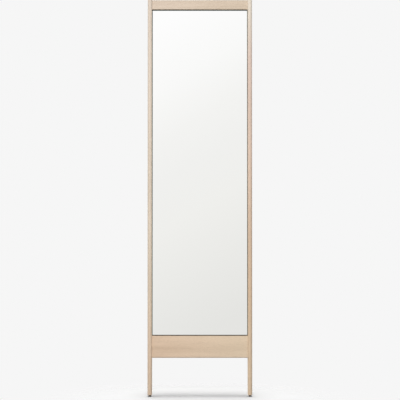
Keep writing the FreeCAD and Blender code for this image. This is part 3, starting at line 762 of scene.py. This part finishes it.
cut_glass, tree, shader, place = start_finish("cut_glass", Roughness=0.3, IOR=1.52)
grinding = cloud(tree, place, **GRINDING)
colour(tree, shader, grinding, EDGE_DEEP, EDGE_PALE)
emboss(tree, shader, grinding, GRINDING_DEPTH)

low, high = box_of("mirror_glass")
sheet = block(low, high)
round_edges(sheet, rims(sheet, low.y, high.y), GLASS_ARRIS, segments=1)
sheet.normal_update()
for face in sheet.faces:
    face.material_index = 0 if face.normal.y < FACING_FRONT else 1
keep_piece(sheet, "looking_glass", [silver, cut_glass], "mirror_glass")


# %% [markdown]
# Behind the glass lies what nobody sees: a film that holds the pieces if the glass breaks, and
# strips of foam tape that stick it to the panel. Both are plain flat sheets, so the solids keep
# their shape and only get a finish. The film has a woven thread in it and the foam its cells.

# %% Safety film and foam tapes
THREADS, THREAD_DEPTH = 260.0, 0.05 * MM
FOAM_CELLS, CELL_DEPTH = 1400.0, 0.2 * MM
FILM_PALE, FILM_DEEP = screen_colour(176, 184, 190), screen_colour(140, 150, 160)
FOAM_PALE, FOAM_DEEP = screen_colour(236, 235, 230), screen_colour(206, 204, 197)


def dress(name, finish):
    """Give a finish to a node that keeps its own shape."""
    nodes[name].data.materials.clear()
    nodes[name].data.materials.append(finish)
    print(finish.name, "on", name)


film, tree, shader, place = start_finish("woven_film", Roughness=0.45)
threads = [
    add_node(tree, "TexWave", Vector=place, bands_direction=way, Scale=THREADS).outputs["Fac"]
    for way in "XZ"
]
weave = work_out(tree, "MAXIMUM", *threads)
colour(tree, shader, weave, FILM_PALE, FILM_DEEP)
emboss(tree, shader, weave, THREAD_DEPTH)
dress("safety_film", film)

foam, tree, shader, place = start_finish("white_foam", Roughness=0.85)
cells = add_node(tree, "TexVoronoi", Vector=place, Scale=FOAM_CELLS).outputs["Distance"]
colour(tree, shader, cells, FOAM_DEEP, FOAM_PALE)
emboss(tree, shader, cells, CELL_DEPTH)
dress("mounting_tapes", foam)


# %% [markdown]
# The back panel is thin hardboard, black on both sides. Pressed fibres show in it as a faint mottle
# and a fine grain, a little smoother where the lacquer is thicker. Its corners are round because the
# cutter that made the rebate is. They are rounded before the rims are eased, so that the rims can
# follow them.

# %% Back panel
PANEL_CORNER, PANEL_RIM = 9.0, 0.4
PANEL_PALE, PANEL_DEEP = screen_colour(38, 36, 34), screen_colour(22, 21, 20)
PANEL_MOTTLE = {"lumps": 60, "detail": 6.0, "between": (0.3, 0.7)}
PANEL_FIBRES, FIBRE_DEPTH = {"lumps": 1500, "draw": (1, 1, 0.35), "detail": 4.0}, 0.15 * MM
PANEL_GLOSS = (0.5, 0.68)

black_board, tree, shader, place = start_finish("black_hardboard", Specular_IOR_Level=0.3)
mottle = cloud(tree, place, **PANEL_MOTTLE)
colour(tree, shader, mottle, PANEL_DEEP, PANEL_PALE)
roughen(tree, shader, mottle, *PANEL_GLOSS)
emboss(tree, shader, cloud(tree, place, **PANEL_FIBRES), FIBRE_DEPTH)

low, high = box_of("back_panel")
panel = block(low, high)
round_edges(panel, corners(panel, low, high), PANEL_CORNER, segments=8)
round_edges(panel, rims(panel, low.y, high.y), PANEL_RIM, segments=2)
panel = bore(panel, "back_panel_side_screws", "back_panel_end_screws")
keep_piece(panel, "back_panel_board", [black_board], "back_panel")


# %% [markdown]
# The glass stands on two rubber blocks, cut from a strip, so that it never rests on wood. One block
# is shaped and mirrored to the other side. Rubber is dull and a little dusty, and the wall buffers
# have the same finish with a finer grain, so a function makes it.

# %% Setting blocks
BLOCK_LENGTH, BLOCK_RIM, BLOCK_GRAIN = 40.0, 0.4, 700
RUBBER_PALE, RUBBER_DEEP = screen_colour(46, 45, 44), screen_colour(30, 29, 28)
RUBBER_DUST, DUST_DEPTH = {"detail": 4.0, "between": (0.3, 0.75)}, 0.04 * MM
RUBBER_GLOSS = (0.55, 0.8)


def make_rubber(name, grain):
    """Dull black rubber with so many grains to a metre."""
    rubber, tree, shader, place = start_finish(name, Specular_IOR_Level=0.35)
    dust = cloud(tree, place, grain, **RUBBER_DUST)
    colour(tree, shader, dust, RUBBER_DEEP, RUBBER_PALE)
    roughen(tree, shader, dust, *RUBBER_GLOSS)
    emboss(tree, shader, dust, DUST_DEPTH)
    return rubber


low, high = box_of("setting_blocks")
blocks = block(low, (low.x + BLOCK_LENGTH, high.y, high.z))
round_edges(blocks, list(blocks.edges), BLOCK_RIM, segments=2)
one_block = [*blocks.verts, *blocks.edges, *blocks.faces]
bmesh.ops.mirror(blocks, geom=one_block, axis="X", merge_dist=-1)
block_rubber = make_rubber("block_rubber", BLOCK_GRAIN)
keep_piece(blocks, "setting_blocks_rubber", [block_rubber], "setting_blocks")


# %% [markdown]
# Dowels hold the corners. A bought beech dowel is fluted, so that glue and air can pass, and its ends
# are chamfered. A circle with every other corner drawn in gives the flutes, one extrusion gives the
# length, and a one-step bevel the chamfers. Inside the frame they don't show, but whoever takes the
# mirror apart finds them.

# %% Dowels
DOWEL_DIAMETER, DOWEL_CHAMFER = 8.0, 1.0
FLUTES, FLUTE_FLOOR = 20, 0.93
DOWEL_ROWS = {"top": 2, "bottom": 3}
OWN_ANGLE = 2.4
BEECH_PALE, BEECH_DEEP = screen_colour(226, 200, 168), screen_colour(204, 172, 136)
BEECH_FLECK = screen_colour(170, 128, 92)
BEECH_GRAIN, GRAIN_DEPTH = {"lumps": 700, "draw": (0.06, 1, 1), "detail": 3.0}, 0.05 * MM
BEECH_FLECKS = {"lumps": 2400, "draw": (0.12, 1, 1), "detail": 1.0, "between": (0.62, 0.7)}

beech, tree, shader, place = start_finish("beech", Roughness=0.6, Specular_IOR_Level=0.35)
grain = cloud(tree, place, **BEECH_GRAIN)
wood = blend(tree, grain, BEECH_DEEP, BEECH_PALE)
colour(tree, shader, cloud(tree, place, **BEECH_FLECKS), wood, BEECH_FLECK)
emboss(tree, shader, grain, GRAIN_DEPTH)


def verts_of(geometry):
    """The vertices among some vertices, edges and faces."""
    return [part for part in geometry if isinstance(part, bmesh.types.BMVert)]


def fluted_dowel(length):
    """A fluted dowel along x, around the origin."""
    shape = bmesh.new()
    bmesh.ops.create_circle(shape, cap_ends=True, radius=DOWEL_DIAMETER / 2, segments=2 * FLUTES)
    bmesh.ops.scale(shape, vec=(FLUTE_FLOOR, FLUTE_FLOOR, 1), verts=list(shape.verts)[::2])
    drawn = bmesh.ops.extrude_face_region(shape, geom=list(shape.faces))["geom"]
    bmesh.ops.translate(shape, vec=(0, 0, length), verts=verts_of(drawn))
    ends = edges_at(shape, z=0) + edges_at(shape, z=length)
    round_edges(shape, ends, DOWEL_CHAMFER, segments=1)
    bmesh.ops.translate(shape, vec=(0, 0, -length / 2), verts=shape.verts)
    bmesh.ops.rotate(shape, matrix=Matrix.Rotation(QUARTER_TURN, 3, "Y"), verts=shape.verts)
    return shape


def spread(first, last, count):
    """So many evenly spaced places from the first to the last."""
    return [first + (last - first) * step / max(count - 1, 1) for step in range(count)]


def set_out(shape, places, axis):
    """Copies of a shape at places, each left at an angle of its own around an axis."""
    pattern = [*shape.verts, *shape.edges, *shape.faces]
    for count, place in enumerate(places):
        copy = verts_of(bmesh.ops.duplicate(shape, geom=pattern)["geom"])
        bmesh.ops.rotate(shape, matrix=Matrix.Rotation(OWN_ANGLE * count, 3, axis), verts=copy)
        bmesh.ops.translate(shape, vec=place, verts=copy)
    bmesh.ops.delete(shape, geom=verts_of(pattern), context="VERTS")
    return shape


for end, rows in DOWEL_ROWS.items():
    for hand in HANDS:
        name = f"{end}_{hand}_dowels"
        low, high = box_of(name)
        middle = (low + high) / 2
        heights = spread(low.z + DOWEL_DIAMETER / 2, high.z - DOWEL_DIAMETER / 2, rows)
        places = [(middle.x, middle.y, height) for height in heights]
        dowels = set_out(fluted_dowel(high.x - low.x), places, "X")
        keep_piece(dowels, f"{name}_beech", [beech], name)


# %% [markdown]
# Screws, buffers and glides are turned pieces, so they are spun from half an outline, as on a lathe.
# A cross-slotted head is cut like the real one is punched: with two crossed wedges. Bright zinc has
# a cloudy bloom, duller in places, over very fine pits.

# %% Turned pieces and zinc
TURN_STEPS = 24
SLOT_REACH, SLOT_WIDTH, SLOT_DEPTH, SLOT_TAPER = 0.62, 0.9, 1.2, 0.55
ZINC_PALE, ZINC_DEEP = screen_colour(208, 211, 214), screen_colour(182, 186, 188)
ZINC_BLOOM = {"lumps": 180, "detail": 5.0, "between": (0.3, 0.7)}
ZINC_PITS, PIT_DEPTH = {"lumps": 2600}, 0.01 * MM
ZINC_GLOSS = (0.42, 0.28)

zinc, tree, shader, place = start_finish("bright_zinc", Metallic=1.0)
bloom = cloud(tree, place, **ZINC_BLOOM)
colour(tree, shader, bloom, ZINC_DEEP, ZINC_PALE)
roughen(tree, shader, bloom, *ZINC_GLOSS)
emboss(tree, shader, cloud(tree, place, **ZINC_PITS), PIT_DEPTH)


def lathe(*outline):
    """A closed shape spun around the y axis from an outline of radii and places along it."""
    shape = bmesh.new()
    verts = [shape.verts.new((radius, along, 0)) for radius, along in outline]
    edges = [shape.edges.new(pair) for pair in zip(verts, verts[1:])]
    bmesh.ops.spin(
        shape, geom=verts + edges, cent=(0, 0, 0), axis=(0, 1, 0), angle=math.tau,
        steps=TURN_STEPS, use_merge=True,
    )
    bmesh.ops.remove_doubles(shape, verts=shape.verts, dist=NEAR)
    bmesh.ops.recalc_face_normals(shape, faces=shape.faces)
    return shape


def round_ring(shape, radius, along, size, segments=4):
    """Round over the ring of a turned piece at a radius and a place along its axis."""
    def on_ring(vert):
        return abs(math.hypot(vert.co.x, vert.co.z) - radius) < NEAR
    ring = [edge for edge in edges_at(shape, y=along) if all(map(on_ring, edge.verts))]
    round_edges(shape, ring, size, segments)


def cut_cross(screw, top, head):
    """Sink a cross slot into a screw's head, whose top and radius are given."""
    half = Vector((SLOT_REACH * head, SLOT_DEPTH, SLOT_WIDTH / 2))
    middle = Vector((0, top, 0))
    for angle in (0, QUARTER_TURN):
        wedge = block(middle - half, middle + half)
        foot = [vert for vert in wedge.verts if vert.co.y < top]
        bmesh.ops.scale(wedge, vec=(SLOT_TAPER, 1, SLOT_TAPER), verts=foot)
        bmesh.ops.rotate(wedge, matrix=Matrix.Rotation(angle, 3, "Y"), verts=wedge.verts)
        screw = rout(screw, wedge)
    return screw


def screw_places(name, head, columns, rows):
    """The middles of a node's screws, from the corners of its box."""
    low, high = box_of(name)
    across = spread(low.x + head, high.x - head, columns)
    up = spread(low.z + head, high.z - head, rows)
    return [(x, 0, z) for x in across for z in up]


print("finish of screws and plates:", zinc.name)


# %% [markdown]
# The panel screws have round heads that stay proud of the board, so the rim of the turned head is
# bevelled well over. One screw is modelled and set out in columns and rows. Each copy is left at an
# angle of its own, because no two screws are driven home alike.

# %% Panel screws
PANEL_HEAD, PANEL_HEAD_HEIGHT, PANEL_HEAD_ROUND = 3.0, 2.0, 1.2
PANEL_SHANK, TIP_LENGTH = 1.5, 2.5
PANEL_SCREWS = {"back_panel_side_screws": (2, 6), "back_panel_end_screws": (2, 2)}


def panel_screw(tip, top):
    """A round-headed screw between two places along y."""
    seat = top - PANEL_HEAD_HEIGHT
    screw = lathe(
        (0, top), (PANEL_HEAD, top), (PANEL_HEAD, seat), (PANEL_SHANK, seat),
        (PANEL_SHANK, tip + TIP_LENGTH), (0, tip),
    )
    round_ring(screw, PANEL_HEAD, top, PANEL_HEAD_ROUND)
    return cut_cross(screw, top, PANEL_HEAD)


for name, (columns, rows) in PANEL_SCREWS.items():
    low, high = box_of(name)
    places = screw_places(name, PANEL_HEAD, columns, rows)
    screws = set_out(panel_screw(low.y, high.y), places, "Y")
    keep_piece(screws, f"{name}_zinc", [zinc], name)


# %% [markdown]
# Each hanger plate is a stamped strip of zinc-plated steel with round ends. A wall screw's head goes
# in at the round part of the keyhole, and the mirror drops until the shank fills the slot. Two screws
# with flat heads, sunk into the plate, hold it in its seat. A turned cutter makes each hole with its
# cone, a little larger than the screw.

# %% Hanger plates and their screws
PLATE_RIM = 0.3
ENTRY_DIAMETER, SLOT_ACROSS, KEYHOLE_TRAVEL = 10.0, 5.0, 9.0
SUNK_HEAD, SUNK_SHANK, SUNK_PLAY = 3.5, 1.75, 0.1
OVER = 1.0


def sunk_screw(tip, top):
    """A flat-headed screw between two places along y, with its head as a cone."""
    screw = lathe(
        (0, top), (SUNK_HEAD, top), (SUNK_SHANK, top - SUNK_HEAD + SUNK_SHANK),
        (SUNK_SHANK, tip + TIP_LENGTH), (0, tip),
    )
    return cut_cross(screw, top, SUNK_HEAD)


def sunk_hole(front, back):
    """A cutter for such a screw's hole, a little past both faces of a plate."""
    head, shank = SUNK_HEAD + SUNK_PLAY, SUNK_SHANK + SUNK_PLAY
    return lathe(
        (0, back + OVER), (head + OVER, back + OVER), (shank, back - head + shank),
        (shank, front - OVER), (0, front - OVER),
    )


def make_plate(hand, screws):
    """A hanger plate with its keyhole, and with holes where its screws go."""
    middle, width, height, front, back = plate_box(hand)
    plate = long_round(middle, width, height, front, back)
    round_edges(plate, rims(plate, front, back), PLATE_RIM, segments=2)
    through = front - PAST, back + PAST
    entry = (middle[0], middle[1] - KEYHOLE_TRAVEL / 2)
    plate = rout(plate, long_round(entry, ENTRY_DIAMETER, ENTRY_DIAMETER, *through))
    plate = rout(plate, long_round(middle, SLOT_ACROSS, KEYHOLE_TRAVEL + SLOT_ACROSS, *through))
    for place in screws:
        hole = sunk_hole(front, back)
        bmesh.ops.translate(hole, vec=place, verts=hole.verts)
        plate = rout(plate, hole)
    return plate


for hand in HANDS:
    name, screws = f"{hand}_hanger_plate", f"{hand}_hanger_screws"
    places = screw_places(screws, SUNK_HEAD, columns=2, rows=1)
    keep_piece(make_plate(hand, places), f"{name}_zinc", [zinc], name)
    low, high = box_of(screws)
    shape = set_out(sunk_screw(low.y, high.y), places, "Y")
    keep_piece(shape, f"{screws}_zinc", [zinc], screws)


# %% [markdown]
# Last come the parts that touch the room. Rubber buttons near the head keep the frame off the wall,
# and dark nylon glides under the feet let it slide on the floor. Both have a stem that is pressed
# into a hole in the stile, and a rim that is eased where it touches. They come off the same lathe as
# the screws, whose axis lies along y, so a glide is stood upright afterwards.

# %% Wall buffers and foot glides
BUFFER_STEM, BUFFER_PROUD, BUFFER_RIM, BUFFER_GRAIN = 2.0, 2.0, 0.6, 1800
GLIDE_STEM, GLIDE_HEIGHT, GLIDE_RIM = 2.5, 7.0, 1.0
NYLON_PALE, NYLON_DEEP = screen_colour(46, 38, 32), screen_colour(30, 24, 20)
NYLON_SCUFFS = {"lumps": 500, "draw": (1, 1, 0.4), "detail": 5.0, "between": (0.35, 0.75)}
NYLON_GLOSS, SCUFF_DEPTH = (0.38, 0.62), 0.02 * MM

button_rubber = make_rubber("button_rubber", BUFFER_GRAIN)
nylon, tree, shader, place = start_finish("dark_nylon", Specular_IOR_Level=0.4)
scuffs = cloud(tree, place, **NYLON_SCUFFS)
colour(tree, shader, scuffs, NYLON_DEEP, NYLON_PALE)
roughen(tree, shader, scuffs, *NYLON_GLOSS)
emboss(tree, shader, scuffs, SCUFF_DEPTH)


def make_button(low, high):
    """A buffer in a box: a button at the back and a stem before it."""
    middle, rim, seat = (low + high) / 2, (high.x - low.x) / 2, high.y - BUFFER_PROUD
    button = lathe(
        (0, high.y), (rim, high.y), (rim, seat),
        (BUFFER_STEM, seat), (BUFFER_STEM, low.y), (0, low.y),
    )
    round_ring(button, rim, high.y, BUFFER_RIM)
    bmesh.ops.translate(button, vec=(middle.x, 0, middle.z), verts=button.verts)
    return button


def make_glide(low, high):
    """A glide in a box: a disc on the floor and a stem above it."""
    middle, rim = (low + high) / 2, (high.x - low.x) / 2
    glide = lathe(
        (0, 0), (rim, 0), (rim, GLIDE_HEIGHT),
        (GLIDE_STEM, GLIDE_HEIGHT), (GLIDE_STEM, high.z), (0, high.z),
    )
    round_ring(glide, rim, 0, GLIDE_RIM)
    bmesh.ops.rotate(glide, matrix=Matrix.Rotation(QUARTER_TURN, 3, "X"), verts=glide.verts)
    bmesh.ops.translate(glide, vec=(middle.x, middle.y, 0), verts=glide.verts)
    return glide


for hand in HANDS:
    name = f"{hand}_wall_buffer"
    button = make_button(*box_of(name))
    keep_piece(button, f"{name}_rubber", [button_rubber], name)
    name = f"{hand}_foot_glide"
    glide = make_glide(*box_of(name))
    keep_piece(glide, f"{name}_nylon", [nylon], name)


# %% [markdown]
# The finished pieces must still fill the solids' box. The box around them is worked out here.

# %% Size of the finished mirror
low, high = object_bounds()
